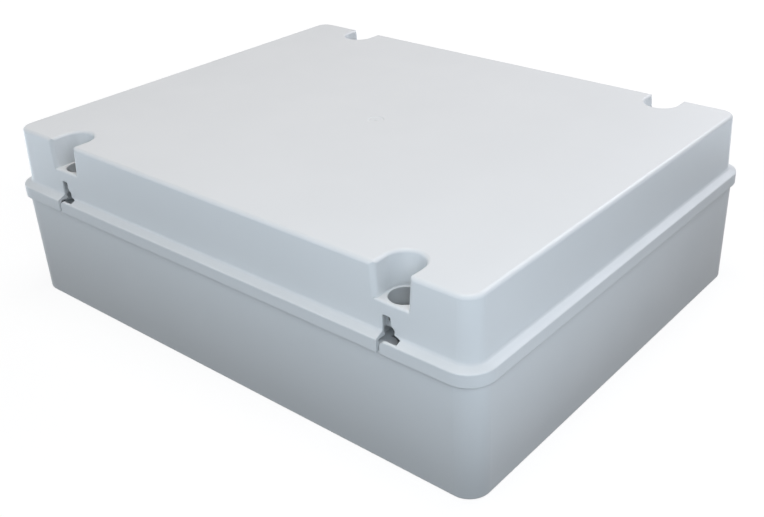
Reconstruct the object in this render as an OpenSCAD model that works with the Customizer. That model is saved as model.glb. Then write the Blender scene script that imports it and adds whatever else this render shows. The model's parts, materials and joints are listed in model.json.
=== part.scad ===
// Surface-mounted junction box: a deep base, a stepped lid that lifts off,
// a gasket in the lid and four captive quarter-turn lid screws in open wells.
// Millimetres, +Z up, origin under the middle of the base's underside.

/* [Enclosure] */
// Inside length of the base at its rim
inner_l = 380; // [320:1:460]
// Inside width of the base at its rim
inner_w = 300; // [240:1:380]
// Height of the closed box
total_h = 121.5; // [114:0.5:160]
// Height of the base's rim above its underside
rim_h = 78; // [60:0.5:85]
// Wall thickness of base and lid
wall = 3; // [2.5:0.1:3.5]
// Thickness of the base's floor
floor_t = 3; // [2:0.1:4]
// Outside corner radius of the base at its rim
corner_r = 14; // [11:0.5:22]
// How much the base narrows on each side, from rim to underside
base_draft = 0.6; // [0.2:0.1:1.2]
// Rounding of the base's bottom edge
foot_r = 1.5; // [0.5:0.1:2.5]

/* [Lid] */
// How far the skirt stands out from the base
skirt_out = 2.5; // [2:0.1:4]
// How far the skirt hangs below the rim
skirt_drop = 4.5; // [3:0.1:8]
// Height of the skirt's outer top edge above the rim
crest_rise = 3.3; // [2.8:0.1:4]
// Rounding of that edge
crest_r = 0.9; // [0.5:0.1:1.5]
// Height of the sloping shoulder
shoulder_h = 2.4; // [2:0.1:3.5]
// Hollow rounding where the shoulder meets the lid's wall
shoulder_r = 2; // [0.5:0.1:3]
// How far the lid's wall stands in from the base's outside
lid_inset = 3; // [2:0.1:3.5]
// How much the lid narrows on each side, from shoulder to top
lid_draft = 1.1; // [0.3:0.1:1.5]
// Rounding of the lid's top edge
top_r = 2.6; // [1:0.1:4]
// Radius of the shallow gate mark in the middle of the lid's top
gate_r = 5.5; // [3:0.1:8]
// Depth of the gate mark
gate_depth = 0.4; // [0.2:0.05:1]
// Radius of the gate's stub in the mark
gate_stub_r = 1.2; // [0.6:0.1:2]

/* [Seal] */
// Height of the sealing rib on the base's rim
rib_h = 0.9; // [0.5:0.1:1.5]
// Width of the sealing rib
rib_w = 1.6; // [1:0.1:2]
// Height of the gasket's groove above the rim
groove_h = 2.4; // [2:0.1:2.8]
// Width of the lid's locating lip inside the base
lip_w = 1.9; // [1.2:0.1:2.5]
// How far the locating lip reaches below the rim
lip_drop = 1.5; // [0.5:0.1:2.5]
// Thickness of the flange over the groove
flange_t = 2.5; // [2:0.1:3]
// Bend of the seal line beside each screw tower, at the base's outside
seal_bend_r = 8; // [7:0.5:12]

/* [Screw wells] */
// Distance of a well's centre from the base's short side
well_from_end = 54.5; // [45:0.5:90]
// Distance of a well's centre from the base's long side
well_from_side = 15; // [14:0.5:20]
// Radius of the U-shaped well at its ledge
well_r = 10.1; // [9.9:0.1:11]
// How much the well widens on each side, from ledge to top
well_draft = 1.5; // [0.8:0.1:2]
// Wall of the well's tube inside the lid
well_wall = 2; // [1.5:0.1:3]
// Height of the well's ledge above the rim
ledge_rise = 23.3; // [22:0.1:26]
// Radius of the bore in the ledge
bore_r = 9; // [8.6:0.1:9.2]
// Rounding of the well's upper edge
well_edge_r = 2.2; // [1:0.1:2.8]
// Rounding of the well's upright edges
mouth_r = 3.3; // [1:0.1:3.5]
// Rounding of the ledge's front edge
ledge_r = 1.5; // [0.5:0.1:2]
// Bevel round the bore's mouth
bore_bevel = 0.4; // [0.2:0.1:0.6]
// Height of the screw's seat above the rim
seat_rise = 9; // [7.5:0.5:10]
// Thickness of the seat
seat_t = 4; // [2:0.1:4.5]

/* [Strap slots] */
// Distance of the slot's straight side from the screw's axis
slot_side = 6.1; // [5.5:0.1:6.5]
// Width of the slot's neck
neck_w = 5.6; // [5:0.1:6.2]
// Height of the neck's top above the rim
neck_top_rise = 15.8; // [14.5:0.1:16.5]
// Rounding of the neck's upper corners
neck_r = 1.4; // [0.5:0.1:2]
// Height of the neck's lower end above the rim
neck_foot_rise = 11.3; // [10.5:0.1:12]
// Width of the slot under its neck
cheek_w = 8.1; // [7.5:0.1:9]
// Height above the rim at which the slot has that width
cheek_rise = 8.9; // [8:0.1:9.5]
// Height of the toe's root above the rim
root_rise = 6.2; // [5.8:0.1:7]
// Width of the slot's foot, with its toe
foot_w = 12.6; // [11:0.1:13.5]
// Height of the toe's end above the rim
toe_rise = 5.2; // [4.6:0.1:5.6]
// Wall of the skirt left in front of the foot
skirt_web = 1.4; // [1:0.1:1.8]
// Width of the slit down through the skirt
slit_w = 2.1; // [1.5:0.1:2.5]
// Size of the bevel where the slit meets the foot
slit_bevel = 3.3; // [2:0.1:4]
// Wall of the lid in front of the pocket behind the slot
pocket_wall = 1.5; // [1.2:0.1:2]
// Width of that pocket
pocket_w = 17; // [14:0.5:18]
// Height of the pocket's top above the rim
pocket_rise = 17.5; // [17:0.5:19]
// Seat left between the pocket and the hole for the screw's shank
seat_web = 1.4; // [1:0.1:2]

/* [Lid screws] */
// Radius of the screw's head
head_r = 8.3; // [6:0.1:8.4]
// Height of the screw's head
head_h = 4; // [3:0.1:4.5]
// Radius of the screw's shank
shank_r = 4.5; // [3.5:0.1:5]
// Reach of the locking wings from the screw's axis
wing_reach = 7.8; // [6.5:0.1:9]
// Width of a locking wing
wing_w = 4.6; // [3:0.1:6]
// Height of a locking wing
wing_h = 4; // [3:0.1:6]
// Length of the screw's tapered tip
tip_h = 2.5; // [1:0.1:4]
// Width of the screwdriver slot
drive_w = 1.8; // [1:0.1:2.5]
// Depth of the screwdriver slot
drive_depth = 2.2; // [1:0.1:2.5]
// Depth of the tower's locking plate below the rim
plate_drop = 3; // [2.8:0.1:5]
// Thickness of the locking plate
plate_t = 4; // [2.5:0.1:5]
// Thickness of the ribs that stop the wings after a quarter turn
stop_t = 1.5; // [1:0.1:2]
// Radial depth of the retaining ring's groove in the shank
ring_depth = 0.7; // [0.4:0.1:1]
// Outside radius of the retaining ring
ring_r = 6.6; // [5.5:0.1:7.5]
// Thickness of the retaining ring
ring_t = 1.5; // [1:0.1:2]
// Play of the screw between its seat and the retaining ring
ring_play = 0.8; // [0.5:0.1:1.5]
// Share of the shank that the retaining ring's opening snaps over
ring_snap = 0.8; // [0.6:0.05:0.9]

/* [Wall fixing] */
// Distance of a wall fixing hole from the base's short side
fix_from_end = 20.5; // [18:0.5:26]
// Distance of a wall fixing hole from the base's long side
fix_from_side = 20.5; // [18:0.5:25]
// Radius of a wall fixing hole
fix_hole_r = 3.25; // [2:0.05:4]
// Radius of the pocket for the fixing screw's head
fix_pocket_r = 7; // [6:0.1:8]
// Thickness of the floor under the screw's head
fix_seat_t = 5; // [4:0.1:6]
// Height of the fixing boss above the underside
fix_boss_h = 12; // [10:0.5:16]
// Wall of the fixing boss
fix_boss_wall = 2.5; // [1.5:0.1:3]
// Thickness of the cap's top
cap_t = 1.4; // [1:0.1:2]
// Depth of the cap's plug in the pocket
cap_plug_h = 3.5; // [2:0.1:4.5]
// Wall of the cap's plug
cap_wall = 1.3; // [0.8:0.1:2]

/* [Plate pillars] */
// Distance of a corner pillar from the base's short side
pillar_from_end = 38; // [30:0.5:90]
// Distance of a pillar from the base's long side
pillar_from_side = 48; // [42:0.5:90]
// Height of a pillar above the floor
pillar_h = 8; // [5:0.5:15]
// Radius of a pillar
pillar_r = 4.5; // [3.5:0.1:6]
// Radius of a pillar's pilot hole
pilot_r = 1.7; // [1:0.05:2.5]
// Depth of a pillar's pilot hole
pilot_depth = 7.5; // [4:0.5:7.5]

/* [Clearances] */
// Gap between lid and base where one slides over the other
fit_gap = 0.3; // [0.2:0.05:0.5]
// Gap between the screw's shank and its hole in the seat
shank_gap = 0.1; // [0.05:0.01:0.2]
// Gap round the screw in the locking plate's keyhole
key_gap = 0.6; // [0.4:0.05:0.8]
// Gap between pieces that are pushed together
push_gap = 0.05; // [0.02:0.01:0.1]

/* [Hidden] */
$fn = 96;

plastic = [0.80, 0.82, 0.83];
screw_grey = [0.72, 0.74, 0.75];
rubber = [0.16, 0.17, 0.18];
// Length by which a cutting shape passes the face that it cuts
over = 1;
// Share by which a rounding passes the edges that it joins, and its arc meets them at a slight angle
kite_over = 1.1;
arc_over = 1.006;

outer_l = inner_l + 2 * wall;
outer_w = inner_w + 2 * wall;
well_x = outer_l / 2 - well_from_end;
well_y = outer_w / 2 - well_from_side;
fix_spacing_l = outer_l - 2 * fix_from_end;
fix_spacing_w = outer_w - 2 * fix_from_side;
pillar_spacing_l = outer_l - 2 * pillar_from_end;
pillar_spacing_w = outer_w - 2 * pillar_from_side;

crest_z = rim_h + crest_rise;
shoulder_z = crest_z + shoulder_h;
skirt_z = rim_h - skirt_drop;
groove_z = rim_h + groove_h;
flange_z = groove_z + flange_t;
lip_z = rim_h - lip_drop;
lip_in = wall + fit_gap + lip_w;
ledge_z = rim_h + ledge_rise;
seat_z = rim_h + seat_rise;
plate_z = rim_h - plate_drop;
tilt = atan(lid_draft / (total_h - shoulder_z));
well_depth = total_h - ledge_z;
well_top_r = well_r + well_draft;
well_tilt = atan(well_draft / well_depth);
// Distance of the lid's outside from a well's centre, at the height of the ledge
ledge_face = well_from_side - lid_inset - (ledge_z - shoulder_z) * tan(tilt);

// The lid's tube stands inside the base's tower, with the running gap between them
tube_r = well_top_r + well_wall;
tower_r = tube_r + fit_gap;
// Width of the swept wall sections, inward from the base's outside
lid_ring_w = lid_inset + lid_draft + wall + top_r;
base_ring_w = wall + foot_r + base_draft;

wing_top = plate_z - plate_t - fit_gap;
tip_z = wing_top - wing_h - tip_h;
ring_z = seat_z - seat_t - ring_play - ring_t;

// Unit vector from a to b
function toward(a, b) = (b - a) / norm(b - a);

// Half of the angle at corner b between its neighbours a and c
function half_angle(a, b, c) = acos(toward(b, a) * toward(b, c)) / 2;

// Centre of the arc of radius r that rounds corner b
function arc_centre(a, b, c, r) =
    let (middle = toward(b, a) + toward(b, c))
    b + middle / norm(middle) * r / sin(half_angle(a, b, c));

// Area between corner b and the arc of radius r that rounds it, reaching a little past both edges
module corner_fill(a, b, c, r) {
    centre = arc_centre(a, b, c, r);
    touch = r / tan(half_angle(a, b, c));
    kite = [b, b + toward(b, a) * touch, centre, b + toward(b, c) * touch];
    difference() {
        polygon([for (p = kite) centre + (p - centre) * kite_over]);
        translate(centre) circle(r * arc_over);
    }
}

// Rectangle with round corners, centred
module round_rect(l, w, r) {
    square([l - 2 * r, w], center = true);
    square([l, w - 2 * r], center = true);
    for (x = [-1, 1], y = [-1, 1])
        translate([x * (l / 2 - r), y * (w / 2 - r)]) circle(r);
}

// Sweeps a section round the base's outline: x = 0 is the base's outside at its rim
module round_outline() {
    for (i = [0 : 3]) {
        along = i % 2 == 0 ? outer_l : outer_w;
        across = i % 2 == 0 ? outer_w : outer_l;
        rotate(90 * i) translate([along / 2 - corner_r, across / 2 - corner_r, 0]) {
            rotate_extrude(angle = 90) translate([corner_r, 0]) children();
            rotate([90, 0, 0]) linear_extrude(across - 2 * corner_r)
                translate([corner_r, 0]) children();
        }
    }
}

// The four wells, each with its open side towards -Y; the lid fits both ways round
module at_wells() {
    for (i = [0 : 3]) at_well(i) children();
}

module at_well(i) {
    rotate(i < 2 ? 0 : 180) translate([(i % 2 == 0 ? 1 : -1) * well_x, -well_y, 0]) children();
}

// The four corners of a rectangle of holes
module at_corners(l, w) {
    for (i = [0 : 3]) at_corner(i, l, w) children();
}

module at_corner(i, l, w) {
    translate([(i % 2 == 0 ? 1 : -1) * l / 2, (i < 2 ? -1 : 1) * w / 2, 0]) children();
}

// U of radius r round a well's centre, open to -Y
module u_plan(r, reach) {
    intersection() {
        union() {
            circle(r);
            translate([-r, -reach - over]) square([2 * r, reach + over]);
        }
        translate([-r - over, -reach]) square([2 * (r + over), reach + r + over]);
    }
}

// Plan of the sealed inside, drawn in by o from the base's outside and from each screw tower
module seal_plan(o) {
    bend = seal_bend_r - o;
    difference() {
        round_rect(outer_l - 2 * o, outer_w - 2 * o, corner_r - o);
        at_wells() {
            u_plan(tower_r + o, well_from_side + over);
            for (side = [-1, 1])
                translate([side * (tower_r + seal_bend_r), seal_bend_r - well_from_side])
                    difference() {
                        translate([min(0, -side * (bend + over)), -bend - over])
                            square(bend + over);
                        circle(bend);
                    }
        }
    }
}

// Band of the seal line between two distances from the base's outside
module seal_band(outer_o, inner_o) {
    difference() {
        seal_plan(outer_o);
        seal_plan(inner_o);
    }
}

// Section of the base's wall
module base_section() {
    inside = -base_ring_w;
    heel = [-base_draft, 0];
    difference() {
        polygon([[inside, 0], heel, [0, rim_h], [inside, rim_h]]);
        corner_fill([inside, 0], heel, [0, rim_h], foot_r);
    }
}

// Boss for a wall fixing screw, with a pocket for its head
module fixing_boss() {
    translate([0, 0, floor_t / 2])
        cylinder(r = fix_pocket_r + fix_boss_wall, h = fix_boss_h - floor_t / 2);
}

module fixing_hole() {
    translate([0, 0, -over]) cylinder(r = fix_hole_r, h = fix_seat_t + 2 * over);
    translate([0, 0, fix_seat_t]) cylinder(r = fix_pocket_r, h = fix_boss_h);
}

// Pillars for a mounting plate: four at the corners and two between them
module at_pillars() {
    at_corners(pillar_spacing_l, pillar_spacing_w) children();
    for (side = [-1, 1]) translate([0, side * pillar_spacing_w / 2, 0]) children();
}

module pillar() {
    translate([0, 0, floor_t / 2]) cylinder(r = pillar_r, h = pillar_h + floor_t / 2);
}

module pilot_hole() {
    translate([0, 0, floor_t + pillar_h - pilot_depth]) cylinder(r = pilot_r, h = pilot_depth + over);
}

// Ribs under the locking plate that stop the screw's wings once they are locked
module stop_ribs() {
    inner = shank_r + key_gap;
    for (turn = [0, 180]) rotate(turn)
        translate([wing_w / 2 + fit_gap, inner, wing_top - wing_h])
            cube([stop_t, wing_reach - inner, wing_h + fit_gap + plate_t / 2]);
}

// Opening in the locking plate that lets the screw's wings through
module keyhole() {
    slot = [2 * (wing_reach + key_gap), wing_w + 2 * key_gap];
    translate([0, 0, plate_z - plate_t - over]) linear_extrude(plate_t + 2 * over) {
        circle(shank_r + key_gap);
        square(slot, center = true);
    }
}

module base() color(plastic) difference() {
    union() {
        difference() {
            union() {
                round_outline() base_section();
                linear_extrude(rim_h)
                    round_rect(outer_l - base_ring_w, outer_w - base_ring_w, corner_r - base_ring_w / 2);
            }
            translate([0, 0, floor_t]) linear_extrude(rim_h) seal_plan(wall);
        }
        translate([0, 0, rim_h - over]) linear_extrude(rib_h + over)
            seal_band((wall - rib_w) / 2, (wall + rib_w) / 2);
        at_corners(fix_spacing_l, fix_spacing_w) fixing_boss();
        at_pillars() pillar();
    }
    at_wells() {
        difference() {
            translate([0, 0, -over]) linear_extrude(plate_z - plate_t + over)
                u_plan(tower_r, well_from_side - wall);
            stop_ribs();
        }
        translate([0, 0, plate_z]) linear_extrude(rim_h)
            u_plan(tower_r, well_from_side - wall);
        keyhole();
    }
    at_corners(fix_spacing_l, fix_spacing_w) fixing_hole();
    at_pillars() pilot_hole();
}

// Ceiling of the gasket's groove round the screw towers, no wider than the lid's wall
module flange_plan() {
    o = lid_inset + wall / 2;
    intersection() {
        seal_band(-fit_gap - push_gap, lip_in);
        round_rect(outer_l - 2 * o, outer_w - 2 * o, corner_r - o);
    }
}

// Section of the lid's wall, shoulder and skirt
module lid_section() {
    hem = [skirt_out, skirt_z];
    crest = [skirt_out, crest_z];
    shoulder = [-lid_inset, shoulder_z];
    edge = [-lid_inset - lid_draft, total_h];
    top = [-lid_ring_w, total_h];
    difference() {
        polygon([
            [fit_gap, skirt_z], hem, crest, shoulder, edge, top,
            [-lid_ring_w, total_h - wall],
            [-lid_inset - lid_draft - wall, total_h - wall],
            [-lid_inset - wall, shoulder_z],
            [-lid_inset - wall, groove_z],
            [fit_gap, groove_z]
        ]);
        corner_fill(hem, crest, shoulder, crest_r);
        corner_fill(shoulder, edge, top, top_r);
    }
    corner_fill(crest, shoulder, edge, shoulder_r);
}

// U-shaped well above the ledge, a little wider at its top
module well_space() {
    wide = well_r + (well_depth + over) * tan(well_tilt);
    translate([0, 0, ledge_z]) cylinder(r1 = well_r, r2 = wide, h = well_depth + over);
    from_outside(well_from_side, 0) polygon([
        [-well_r, ledge_z], [well_r, ledge_z], [wide, total_h + over], [-wide, total_h + over]
    ]);
}

// Rounds the well's upper edge, all along the U
module well_edge_cut() {
    rotate_extrude(angle = 180) well_edge_section();
    for (side = [0, 1]) mirror([side, 0, 0]) from_outside(well_from_side, 0) well_edge_section();
}

module well_edge_section() {
    corner = [well_top_r, total_h];
    outward = [well_top_r + well_edge_r, total_h];
    corner_fill(outward, corner, [well_r, ledge_z], well_edge_r);
}

// Rounds the well's upright edges, which lean with the lid's wall and with the well's sides
module mouth_cut() {
    intersection() {
        for (side = [0, 1]) mirror([side, 0, 0])
            translate([well_r, -ledge_face, ledge_z]) rotate([-tilt, well_tilt, 0])
                translate([0, 0, -over]) linear_extrude(total_h)
                    corner_fill([mouth_r, 0], [0, 0], [0, mouth_r], mouth_r);
        translate([-total_h, -total_h, ledge_z]) cube(2 * total_h);
    }
}

// Rounds the front edge of the well's ledge
module ledge_cut() {
    half = well_r + mouth_r - ledge_r;
    translate([-half, -ledge_face, ledge_z]) rotate([90, 0, 90]) linear_extrude(2 * half)
        corner_fill([ledge_r, 0], [0, 0], [0, -ledge_r], ledge_r);
}

// Well, bore and seat for one lid screw
module well_cut() {
    well_space();
    translate([0, 0, seat_z]) cylinder(r = bore_r, h = total_h);
    translate([0, 0, ledge_z - bore_bevel])
        cylinder(r1 = bore_r, r2 = bore_r + bore_bevel + over, h = bore_bevel + over);
    cylinder(r = shank_r + shank_gap, h = total_h);
    translate([0, 0, skirt_z]) linear_extrude(seat_z - seat_t - skirt_z)
        u_plan(well_top_r, well_from_side - lid_inset - wall + over);
    well_edge_cut();
    mouth_cut();
    ledge_cut();
}

// Stands up an outline seen from outside, between two distances from the screw's axis
module from_outside(far, near) {
    translate([0, -near, 0]) rotate([90, 0, 0]) linear_extrude(far - near) children();
}

// Slot for a hinge strap: a neck, a wider part under it and a foot with a toe
module slot_outline() {
    neck = neck_w - slot_side;
    cheek = cheek_w - slot_side;
    toe = foot_w - slot_side;
    foot_z = groove_z - over;
    neck_z = rim_h + neck_top_rise;
    polygon([
        [-slot_side, foot_z], [toe, foot_z], [toe, rim_h + toe_rise],
        [cheek, rim_h + root_rise], [cheek, rim_h + cheek_rise], [neck, rim_h + neck_foot_rise],
        [neck, neck_z - neck_r], [-slot_side, neck_z - neck_r]
    ]);
    for (x = [neck_r - slot_side, neck - neck_r]) translate([x, neck_z - neck_r]) circle(neck_r);
    translate([neck_r - slot_side, neck_z - 2 * neck_r]) square([neck_w - 2 * neck_r, 2 * neck_r]);
}

// Slit down through the skirt, with a bevel where it meets the foot
module slit_outline() {
    slit = slit_w - slot_side;
    top_z = crest_z + over;
    polygon([
        [-slot_side, skirt_z - over], [slit, skirt_z - over], [slit, top_z - slit_bevel],
        [slit + slit_bevel, top_z], [-slot_side, top_z]
    ]);
}

// Slot, slit and the pocket behind them, which opens into the screw's bore
module slot_cut() {
    outside = well_from_side + skirt_out;
    back = shank_r + shank_gap + seat_web;
    front = well_from_side - lid_inset - pocket_wall;
    pocket_z = seat_z - seat_t - over;
    from_outside(outside - skirt_web, back) slot_outline();
    from_outside(outside + over, well_from_side) slit_outline();
    translate([-pocket_w / 2, -front, pocket_z])
        cube([pocket_w, front - back, rim_h + pocket_rise - pocket_z]);
}

// Round mark that the mould's gate leaves in the middle of the lid, with its stub
module gate_mark() {
    translate([0, 0, total_h - gate_depth]) difference() {
        cylinder(r1 = gate_r - 2 * gate_depth, r2 = gate_r + 2 * over, h = gate_depth + over);
        translate([0, 0, -over]) cylinder(r = gate_stub_r, h = gate_depth / 2 + over);
    }
}

module lid() color(plastic) difference() {
    union() {
        round_outline() lid_section();
        translate([0, 0, total_h - wall]) linear_extrude(wall)
            round_rect(outer_l - 2 * (lid_ring_w - over), outer_w - 2 * (lid_ring_w - over), top_r);
        translate([0, 0, groove_z]) linear_extrude(flange_t) flange_plan();
        translate([0, 0, lip_z]) linear_extrude(flange_z - lip_z) seal_band(wall + fit_gap, lip_in);
        at_wells() translate([0, 0, lip_z]) linear_extrude(total_h - wall / 2 - lip_z)
            u_plan(tube_r, well_from_side - lid_inset - lid_draft - wall / 2);
    }
    at_wells() {
        well_cut();
        slot_cut();
    }
    gate_mark();
}

// Flat cord of soft rubber in the lid's groove, pressed by the base's rib
module gasket() color(rubber)
    translate([0, 0, rim_h + rib_h + push_gap])
        linear_extrude(groove_h - rib_h - push_gap)
            seal_band(push_gap - fit_gap, wall + fit_gap - push_gap);

// Captive quarter-turn screw, drawn with its wings in line with the keyhole
module lid_screw() color(screw_grey) {
    head_z = seat_z + push_gap;
    head_top = head_z + head_h;
    groove_r = shank_r - ring_depth;
    bevel = head_h / 6;
    difference() {
        rotate_extrude() polygon([
            [0, tip_z], [shank_r - tip_h / 2, tip_z], [shank_r, tip_z + tip_h],
            [shank_r, ring_z], [groove_r, ring_z],
            [groove_r, ring_z + ring_t + push_gap], [shank_r, ring_z + ring_t + push_gap],
            [shank_r, head_z], [head_r, head_z],
            [head_r, head_top - bevel], [head_r - bevel, head_top], [0, head_top]
        ]);
        translate([0, 0, head_top - drive_depth / 2 + over / 2])
            cube([2 * head_r + over, drive_w, drive_depth + over], center = true);
    }
    translate([0, 0, wing_top - wing_h]) intersection() {
        cylinder(r = wing_reach, h = wing_h);
        translate([-wing_reach - over, -wing_w / 2, 0])
            cube([2 * (wing_reach + over), wing_w, wing_h]);
    }
}

// Open ring that snaps into the shank's groove and keeps the screw in the lid
module screw_ring() color(rubber) {
    bore = shank_r - ring_depth + push_gap;
    opening = 2 * bore * ring_snap;
    translate([0, 0, ring_z]) difference() {
        cylinder(r = ring_r, h = ring_t);
        translate([0, 0, -over]) cylinder(r = bore, h = ring_t + 2 * over);
        translate([-opening / 2, 0, -over]) cube([opening, ring_r + over, ring_t + 2 * over]);
    }
}

// Insulating cap that plugs a fixing screw's pocket
module fixing_cap() color(plastic) {
    plug_r = fix_pocket_r - push_gap;
    difference() {
        union() {
            translate([0, 0, fix_boss_h - cap_plug_h]) cylinder(r = plug_r, h = cap_plug_h + cap_t);
            translate([0, 0, fix_boss_h]) cylinder(r = fix_pocket_r + fix_boss_wall, h = cap_t);
        }
        translate([0, 0, fix_boss_h - cap_plug_h - over])
            cylinder(r = plug_r - cap_wall, h = cap_plug_h + over);
    }
}

base();
lid();
gasket();
for (i = [0 : 3]) {
    at_well(i) lid_screw();
    at_well(i) screw_ring();
    at_corner(i, fix_spacing_l, fix_spacing_w) fixing_cap();
}
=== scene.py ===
# Looks of a surface-mounted junction box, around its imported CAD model.
# The CAD nodes keep their shapes and get procedural materials; thin moulding marks ride on the bodies.
# Lengths are metres, in the CAD frame: +Z up, -Y the long side at the left of the view.
import json
import math

import bmesh
import bpy
from mathutils import Matrix, Vector


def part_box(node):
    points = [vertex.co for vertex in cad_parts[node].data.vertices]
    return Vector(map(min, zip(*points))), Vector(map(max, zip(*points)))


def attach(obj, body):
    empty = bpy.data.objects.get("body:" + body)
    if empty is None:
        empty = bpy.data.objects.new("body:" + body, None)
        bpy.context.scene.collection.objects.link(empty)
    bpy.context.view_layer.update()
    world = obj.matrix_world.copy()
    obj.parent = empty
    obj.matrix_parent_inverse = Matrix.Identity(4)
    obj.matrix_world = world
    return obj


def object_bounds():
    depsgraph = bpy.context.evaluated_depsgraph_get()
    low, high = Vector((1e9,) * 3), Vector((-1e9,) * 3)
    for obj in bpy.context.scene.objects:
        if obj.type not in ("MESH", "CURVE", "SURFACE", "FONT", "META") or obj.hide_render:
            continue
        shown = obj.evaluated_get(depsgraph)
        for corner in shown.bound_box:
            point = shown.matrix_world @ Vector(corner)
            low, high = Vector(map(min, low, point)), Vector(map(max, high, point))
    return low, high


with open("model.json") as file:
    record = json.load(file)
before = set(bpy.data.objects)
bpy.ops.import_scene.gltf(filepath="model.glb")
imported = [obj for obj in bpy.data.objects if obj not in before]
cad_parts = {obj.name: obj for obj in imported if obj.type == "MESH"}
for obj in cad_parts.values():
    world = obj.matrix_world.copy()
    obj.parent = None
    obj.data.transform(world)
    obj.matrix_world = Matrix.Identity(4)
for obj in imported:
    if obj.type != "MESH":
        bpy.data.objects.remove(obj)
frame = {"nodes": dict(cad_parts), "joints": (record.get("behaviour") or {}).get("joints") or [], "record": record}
cad_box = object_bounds()
scene = bpy.context.scene
MM = 0.001

# Camera: the image's size, the lens in pixels and where the optical axis meets the image
IMAGE_W = 764
IMAGE_H = 517
FOCAL_PX = 1017.94
AXIS_PX = (429.39, 240.44)
AZIMUTH = math.radians(38.997)
ELEVATION = math.radians(27.998)
ROLL = math.radians(-1.410)
DISTANCE = 655.11 * MM
TARGET = Vector((63.00, -24.43, 60.23)) * MM
SENSOR_MM = 36.0
CLIP_START = 10 * MM


def make_camera():
    """A camera that looks at the target along its azimuth and elevation, turned by its roll."""
    back = Vector((
        math.sin(AZIMUTH) * math.cos(ELEVATION),
        -math.cos(AZIMUTH) * math.cos(ELEVATION),
        math.sin(ELEVATION),
    ))
    level_right = Vector((math.cos(AZIMUTH), math.sin(AZIMUTH), 0))
    level_up = back.cross(level_right)
    right = level_right * math.cos(ROLL) + level_up * math.sin(ROLL)
    up = level_up * math.cos(ROLL) - level_right * math.sin(ROLL)
    data = bpy.data.cameras.new("camera")
    data.sensor_width = SENSOR_MM
    data.lens = FOCAL_PX * SENSOR_MM / IMAGE_W
    data.shift_x = (IMAGE_W / 2 - AXIS_PX[0]) / IMAGE_W
    data.shift_y = (AXIS_PX[1] - IMAGE_H / 2) / IMAGE_W
    data.clip_start = CLIP_START
    camera = bpy.data.objects.new("camera", data)
    scene.collection.objects.link(camera)
    turn = Matrix((right, up, back)).transposed().to_4x4()
    camera.matrix_world = Matrix.Translation(TARGET + back * DISTANCE) @ turn
    scene.camera = camera


# Stage: a floor that shows white to the camera, keeps the object's shadow and bounces little light
WHITE = 1.0
FLOOR_SIZE = 8.0
FLOOR_BOUNCE = 0.08
FLOOR_SEEN = 0.16
# Glow of the floor round the box, and where it starts and ends its rise to white, as metres from the middle
FLOOR_GLOW = 0.88
GLOW_REACH = (0.35, 1.0)


def seen_ray(nodes, links):
    """1 for rays that the camera, a reflection or a clear material sends out, 0 for light that bounces."""
    path = nodes.new("ShaderNodeLightPath")
    seen = path.outputs["Is Camera Ray"]
    for name in ("Is Glossy Ray", "Is Transmission Ray"):
        either = nodes.new("ShaderNodeMath")
        either.operation = "MAXIMUM"
        links.new(seen, either.inputs[0])
        links.new(path.outputs[name], either.inputs[1])
        seen = either.outputs[0]
    return seen


def make_floor():
    """The floor under the box, whose glow shows only to the camera and in reflections."""
    mesh = bpy.data.meshes.new("floor")
    half = FLOOR_SIZE / 2
    corners = [(-half, -half, 0), (half, -half, 0), (half, half, 0), (-half, half, 0)]
    mesh.from_pydata(corners, [], [(0, 1, 2, 3)])
    floor = bpy.data.objects.new("floor", mesh)
    floor.location.z = cad_box[0].z
    scene.collection.objects.link(floor)
    material = bpy.data.materials.new("floor_white")
    material.use_nodes = True
    nodes, links = material.node_tree.nodes, material.node_tree.links
    nodes.clear()
    bounce = nodes.new("ShaderNodeBsdfDiffuse")
    bounce.inputs["Color"].default_value = (FLOOR_BOUNCE, FLOOR_BOUNCE, FLOOR_BOUNCE, 1)
    paint = nodes.new("ShaderNodeBsdfDiffuse")
    paint.inputs["Color"].default_value = (FLOOR_SEEN, FLOOR_SEEN, FLOOR_SEEN, 1)
    place = nodes.new("ShaderNodeTexCoord")
    reach = nodes.new("ShaderNodeVectorMath")
    reach.operation = "LENGTH"
    links.new(place.outputs["Object"], reach.inputs[0])
    rise = nodes.new("ShaderNodeMapRange")
    rise.inputs["From Min"].default_value, rise.inputs["From Max"].default_value = GLOW_REACH
    rise.inputs["To Min"].default_value = FLOOR_GLOW
    rise.inputs["To Max"].default_value = WHITE
    links.new(reach.outputs["Value"], rise.inputs["Value"])
    glow = nodes.new("ShaderNodeEmission")
    links.new(rise.outputs["Result"], glow.inputs["Strength"])
    white = nodes.new("ShaderNodeAddShader")
    links.new(paint.outputs[0], white.inputs[0])
    links.new(glow.outputs[0], white.inputs[1])
    mix = nodes.new("ShaderNodeMixShader")
    links.new(seen_ray(nodes, links), mix.inputs["Fac"])
    links.new(bounce.outputs[0], mix.inputs[1])
    links.new(white.outputs[0], mix.inputs[2])
    output = nodes.new("ShaderNodeOutputMaterial")
    links.new(mix.outputs[0], output.inputs["Surface"])
    mesh.materials.append(material)


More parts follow.
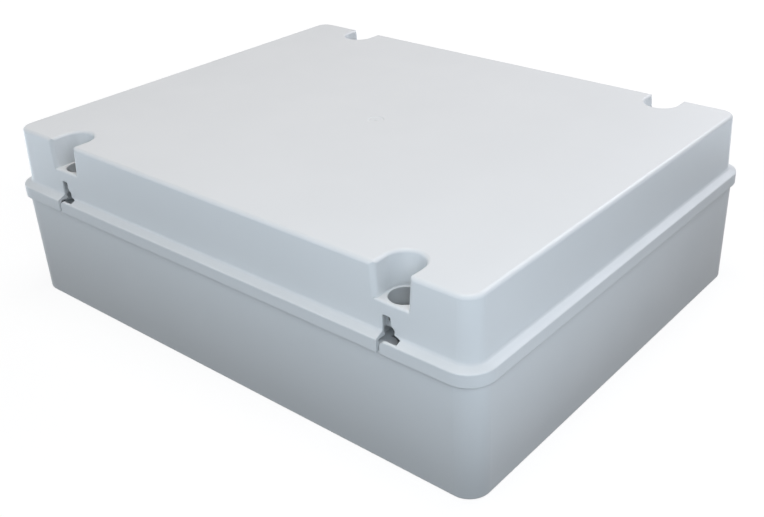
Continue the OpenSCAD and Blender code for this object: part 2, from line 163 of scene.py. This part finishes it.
# Lights: name, place, size, power in watts, colour and kind. Softboxes show in the box's gloss and fills
# don't, and both look at the box's middle. Cards lie on the floor and shine up, as reflector cards do.
AIM = Vector((0, 0, 0.06))
WARM = (1.0, 0.92, 0.86)
PALE = (0.88, 0.91, 1.0)
COOL = (0.80, 0.90, 1.0)
SOFTBOX, FILL, CARD = "softbox", "fill", "card"
LIGHTS = [
    ("top_softbox", (0.0, 0.0, 1.1), (0.5, 0.5), 4.05, WARM, SOFTBOX),
    ("back_strip", (0.25, 0.9, 0.85), (1.0, 0.5), 6.5, PALE, SOFTBOX),
    ("front_steep", (0.1, -0.45, 1.0), (0.4, 0.4), 1.0, WARM, SOFTBOX),
    ("left_wide", (-0.9, -0.9, 0.5), (0.6, 0.6), 3.4, COOL, FILL),
    ("left_end", (-1.1, -0.3, 0.5), (0.6, 0.6), 1.2, COOL, FILL),
    ("fill_corner", (0.48, -0.45, 0.45), (0.35, 0.35), 2.0, COOL, FILL),
    ("fill_front", (0.2, -0.7, 0.2), (0.4, 0.3), 0.09, COOL, FILL),
    ("fill_right", (0.55, -0.15, 0.2), (0.25, 0.25), 0.11, COOL, FILL),
    ("fill_right_high", (0.9, 0.3, 0.6), (0.6, 0.6), 0.61, PALE, FILL),
    ("card_front_far", (0.0, -1.0, 0.01), (1.4, 0.6), 14.4, COOL, CARD),
    ("card_right_far", (1.0, 0.0, 0.01), (0.6, 1.4), 2.2, COOL, CARD),
    ("card_front", (0.12, -0.36, 0.01), (0.4, 0.25), 0.08, COOL, CARD),
    ("card_right", (0.42, -0.12, 0.01), (0.3, 0.3), 0.26, COOL, CARD),
    ("card_back", (0.0, 0.6, 0.01), (1.0, 0.5), 2.4, COOL, CARD),
    ("card_left", (-0.6, 0.0, 0.01), (0.5, 0.8), 2.0, COOL, CARD),
]
WORLD_LEVEL = 0.03


def make_lights():
    """Makes the lamps, which no camera ray sees."""
    for name, place, size, power, colour, kind in LIGHTS:
        data = bpy.data.lights.new(name, "AREA")
        data.shape = "RECTANGLE"
        data.size, data.size_y = size
        data.energy = power
        data.color = colour
        light = bpy.data.objects.new(name, data)
        light.location = place
        look = Vector((0, 0, 1)) if kind == CARD else AIM - Vector(place)
        light.rotation_euler = look.to_track_quat("-Z", "Y").to_euler()
        light.visible_camera = False
        light.visible_glossy = kind != FILL
        scene.collection.objects.link(light)


def make_world():
    """A dim even light, which shows as plain white to the camera and in reflections."""
    world = bpy.data.worlds.new("studio")
    world.use_nodes = True
    nodes, links = world.node_tree.nodes, world.node_tree.links
    nodes.clear()
    light = nodes.new("ShaderNodeBackground")
    light.inputs["Color"].default_value = (1, 1, 1, 1)
    light.inputs["Strength"].default_value = WORLD_LEVEL
    white = nodes.new("ShaderNodeBackground")
    white.inputs["Color"].default_value = (1, 1, 1, 1)
    mix = nodes.new("ShaderNodeMixShader")
    links.new(seen_ray(nodes, links), mix.inputs["Fac"])
    links.new(light.outputs[0], mix.inputs[1])
    links.new(white.outputs[0], mix.inputs[2])
    output = nodes.new("ShaderNodeOutputWorld")
    links.new(mix.outputs[0], output.inputs["Surface"])
    scene.world = world


# The middle part of a noise's range, where nearly all its values lie, and the rays that smooth an edge
NOISE_LOW = 0.3
NOISE_HIGH = 0.7
EDGE_SAMPLES = 6


class Finish:
    """A Principled material whose texture nodes all read the object's own coordinates."""

    def __init__(self, name, colour, roughness):
        self.material = bpy.data.materials.new(name)
        self.material.use_nodes = True
        self.nodes = self.material.node_tree.nodes
        self.links = self.material.node_tree.links
        self.shader = self.nodes["Principled BSDF"]
        self.shader.inputs["Base Color"].default_value = (*colour, 1)
        self.shader.inputs["Roughness"].default_value = roughness
        self.place = self.nodes.new("ShaderNodeTexCoord").outputs["Object"]
        self.normal = None

    def noise(self, size, detail=2):
        """Noise whose lumps are about that long, in metres."""
        node = self.nodes.new("ShaderNodeTexNoise")
        node.inputs["Scale"].default_value = 1 / size
        node.inputs["Detail"].default_value = detail
        self.links.new(self.place, node.inputs["Vector"])
        return node.outputs["Fac"]

    def between(self, source, low, high):
        """Spreads a noise from low to high."""
        node = self.nodes.new("ShaderNodeMapRange")
        node.inputs["From Min"].default_value = NOISE_LOW
        node.inputs["From Max"].default_value = NOISE_HIGH
        node.inputs["To Min"].default_value = low
        node.inputs["To Max"].default_value = high
        self.links.new(source, node.inputs["Value"])
        return node.outputs["Result"]

    def tint(self, source, dark, light):
        """Base colour that drifts between two close colours."""
        node = self.nodes.new("ShaderNodeMix")
        node.data_type = "RGBA"
        node.inputs["A"].default_value = (*dark, 1)
        node.inputs["B"].default_value = (*light, 1)
        self.links.new(self.between(source, 0, 1), node.inputs["Factor"])
        self.links.new(node.outputs["Result"], self.shader.inputs["Base Color"])

    def math(self, operation, first, second):
        """Math on an output and either a number or another output."""
        node = self.nodes.new("ShaderNodeMath")
        node.operation = operation
        self.links.new(first, node.inputs[0])
        if isinstance(second, float):
            node.inputs[1].default_value = second
        else:
            self.links.new(second, node.inputs[1])
        return node.outputs["Value"]

    def vector_math(self, operation, source, other=(0, 0, 0)):
        """All outputs of vector math on an output and a constant."""
        node = self.nodes.new("ShaderNodeVectorMath")
        node.operation = operation
        self.links.new(source, node.inputs[0])
        node.inputs[1].default_value = other
        return node.outputs

    def paint_shade(self, inside, shade):
        """Paints shade: darkens the base colour to a share of itself where inside is 1."""
        link = self.shader.inputs["Base Color"].links[0]
        node = self.nodes.new("ShaderNodeMix")
        node.data_type = "RGBA"
        node.blend_type = "MULTIPLY"
        node.inputs["B"].default_value = (shade, shade, shade, 1)
        self.links.new(inside, node.inputs["Factor"])
        self.links.new(link.from_socket, node.inputs["A"])
        self.links.new(node.outputs["Result"], self.shader.inputs["Base Color"])

    def round_edges(self, radius):
        """Shades edges as if they were rounded with that radius."""
        node = self.nodes.new("ShaderNodeBevel")
        node.samples = EDGE_SAMPLES
        node.inputs["Radius"].default_value = radius
        self.normal = node.outputs["Normal"]
        self.links.new(self.normal, self.shader.inputs["Normal"])

    def bump(self, source, depth):
        """Adds relief of that depth, in metres, on top of what the normal already has."""
        node = self.nodes.new("ShaderNodeBump")
        node.inputs["Distance"].default_value = depth
        node.inputs["Strength"].default_value = 1.0
        self.links.new(source, node.inputs["Height"])
        if self.normal:
            self.links.new(self.normal, node.inputs["Normal"])
        self.normal = node.outputs["Normal"]
        self.links.new(self.normal, self.shader.inputs["Normal"])


# Place of the first lid screw on its seat, which the others mirror in X and Y, and the bore above the seat, with
# the share of its colour that the painted shade on its walls leaves
PLACES = {joint["name"]: joint["pos_m"] for joint in frame["joints"] if "pos_m" in joint}
SCREW_PLACE = Vector(PLACES["screw_turn_1"])
BORE_R = 9.0 * MM
BORE_DEPTH = 14.3 * MM
BORE_MARGIN = 0.3 * MM
BORE_PAINTED_SHADE = 0.70


def painted_bore_shade(finish):
    """1 on the walls of the screws' bores, where shade is painted into the colour, and 0 elsewhere."""
    quarter = finish.vector_math("ABSOLUTE", finish.place)["Vector"]
    axis = (abs(SCREW_PLACE.x), abs(SCREW_PLACE.y), 0)
    from_axis = finish.vector_math("SUBTRACT", quarter, axis)["Vector"]
    level = finish.vector_math("MULTIPLY", from_axis, (1, 1, 0))["Vector"]
    distance = finish.vector_math("LENGTH", level)["Value"]
    height = finish.nodes.new("ShaderNodeSeparateXYZ")
    finish.links.new(finish.place, height.inputs[0])
    in_reach = finish.math("LESS_THAN", distance, BORE_R + BORE_MARGIN)
    above = finish.math("GREATER_THAN", height.outputs["Z"], SCREW_PLACE.z - BORE_MARGIN)
    below = finish.math("LESS_THAN", height.outputs["Z"], SCREW_PLACE.z + BORE_DEPTH - BORE_MARGIN)
    return finish.math("MULTIPLY", in_reach, finish.math("MULTIPLY", above, below))


# Finish of the box's plastic: colour, darkest and lightest shade, roughness and its range, length of the
# lumps of both, edge radius, and length and depth of the coarse and the fine grain
BOX_COLOUR = (0.69, 0.71, 0.72)
BOX_DARK = (0.682, 0.703, 0.712)
BOX_LIGHT = (0.698, 0.718, 0.727)
BOX_ROUGHNESS = 0.38
BOX_GLOSS = (0.34, 0.42)
BOX_SHADE_LUMP = 70 * MM
BOX_GLOSS_LUMP = 25 * MM
BOX_GLOSS_DETAIL = 4
BOX_EDGE = 0.5 * MM
BOX_GRAINS = [(3 * MM, 0.02 * MM), (0.6 * MM, 0.006 * MM)]


def box_plastic():
    finish = Finish("box_plastic", BOX_COLOUR, BOX_ROUGHNESS)
    finish.tint(finish.noise(BOX_SHADE_LUMP), BOX_DARK, BOX_LIGHT)
    # Painted shade: the walls of the screw bores are darkened in the base colour
    finish.paint_shade(painted_bore_shade(finish), BORE_PAINTED_SHADE)
    gloss = finish.between(finish.noise(BOX_GLOSS_LUMP, BOX_GLOSS_DETAIL), *BOX_GLOSS)
    finish.links.new(gloss, finish.shader.inputs["Roughness"])
    finish.round_edges(BOX_EDGE)
    for grain, depth in BOX_GRAINS:
        finish.bump(finish.noise(grain), depth)
    return finish.material


# Finishes of the small pieces: colour, darkest and lightest shade, roughness, length of the shades' lumps,
# edge radius, length and depth of the grain, and how finely both noises are broken up
SMALL_FINISHES = {
    "screw_plastic": {
        "colour": (0.45, 0.47, 0.48), "dark": (0.44, 0.46, 0.47), "light": (0.47, 0.49, 0.50),
        "roughness": 0.5, "lump": 6 * MM, "edge": 0.25 * MM,
        "grain": 0.5 * MM, "depth": 0.008 * MM, "detail": 2,
    },
    "ring_plastic": {
        "colour": (0.03, 0.03, 0.032), "dark": (0.026, 0.026, 0.028), "light": (0.036, 0.036, 0.038),
        "roughness": 0.45, "lump": 4 * MM, "edge": 0.15 * MM,
        "grain": 0.4 * MM, "depth": 0.006 * MM, "detail": 2,
    },
    "cap_plastic": {
        "colour": (0.58, 0.60, 0.61), "dark": (0.57, 0.59, 0.60), "light": (0.60, 0.62, 0.63),
        "roughness": 0.45, "lump": 8 * MM, "edge": 0.3 * MM,
        "grain": 0.5 * MM, "depth": 0.008 * MM, "detail": 2,
    },
    "gasket_rubber": {
        "colour": (0.05, 0.052, 0.055), "dark": (0.04, 0.041, 0.044), "light": (0.065, 0.067, 0.07),
        "roughness": 0.85, "lump": 2 * MM, "edge": 0.3 * MM,
        "grain": 0.35 * MM, "depth": 0.05 * MM, "detail": 4,
    },
}


def small_finish(name, colour, dark, light, roughness, lump, edge, grain, depth, detail):
    finish = Finish(name, colour, roughness)
    finish.tint(finish.noise(lump, detail), dark, light)
    finish.round_edges(edge)
    finish.bump(finish.noise(grain, detail), depth)
    return finish.material


# Fine raised rings that the mould's ejector pins leave on the inner faces: radius, section across and up,
# where they stand on the base's floor and under the lid's top, and the thickness of both
PIN_R = 4.0 * MM
PIN_STEPS = 48
PIN_SECTION = [
    (-0.4 * MM, -0.1 * MM),
    (-0.3 * MM, 0.1 * MM),
    (0, 0.2 * MM),
    (0.3 * MM, 0.1 * MM),
    (0.4 * MM, -0.1 * MM),
]
PIN_COLUMNS = [-120 * MM, -40 * MM, 40 * MM, 120 * MM]
PIN_ROWS = [-70 * MM, 0, 70 * MM]
WALL = 3.0 * MM


def pin_marks(name, body, height, up, material):
    """One piece of all the rings on a face at that height; up is 1 on a floor and -1 under a top."""
    mesh = bmesh.new()
    for x in PIN_COLUMNS:
        for y in PIN_ROWS:
            rows = []
            for step in range(PIN_STEPS):
                angle = 2 * math.pi * step / PIN_STEPS
                out = Vector((math.cos(angle), math.sin(angle), 0))
                row = []
                for across, rise in PIN_SECTION:
                    middle = Vector((x, y, height + up * rise))
                    row.append(mesh.verts.new(middle + out * (PIN_R + across)))
                rows.append(row)
            for row, following in zip(rows, rows[1:] + rows[:1]):
                for i in range(len(PIN_SECTION)):
                    mesh.faces.new((row[i - 1], following[i - 1], following[i], row[i]))
    bmesh.ops.recalc_face_normals(mesh, faces=mesh.faces)
    data = bpy.data.meshes.new(name)
    mesh.to_mesh(data)
    mesh.free()
    data.materials.append(material)
    piece = bpy.data.objects.new(name, data)
    scene.collection.objects.link(piece)
    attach(piece, body)


def dress_nodes():
    """Gives each CAD node the material of its slot in the record, and marks the moulded inner faces."""
    materials = {name: small_finish(name, **values) for name, values in SMALL_FINISHES.items()}
    materials["box_plastic"] = box_plastic()
    floor_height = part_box("base")[0].z + WALL
    ceiling_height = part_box("lid")[1].z - WALL
    pin_marks("base_pin_marks", "base", floor_height, 1, materials["box_plastic"])
    pin_marks("lid_pin_marks", "lid", ceiling_height, -1, materials["box_plastic"])
    for subpart in frame["record"]["subparts"]:
        node = frame["nodes"][subpart["node"]]
        node.data.materials.clear()
        node.data.materials.append(materials[subpart["material_slot"]])


make_camera()
make_floor()
make_lights()
make_world()
dress_nodes()
scene.view_settings.view_transform = "Standard"
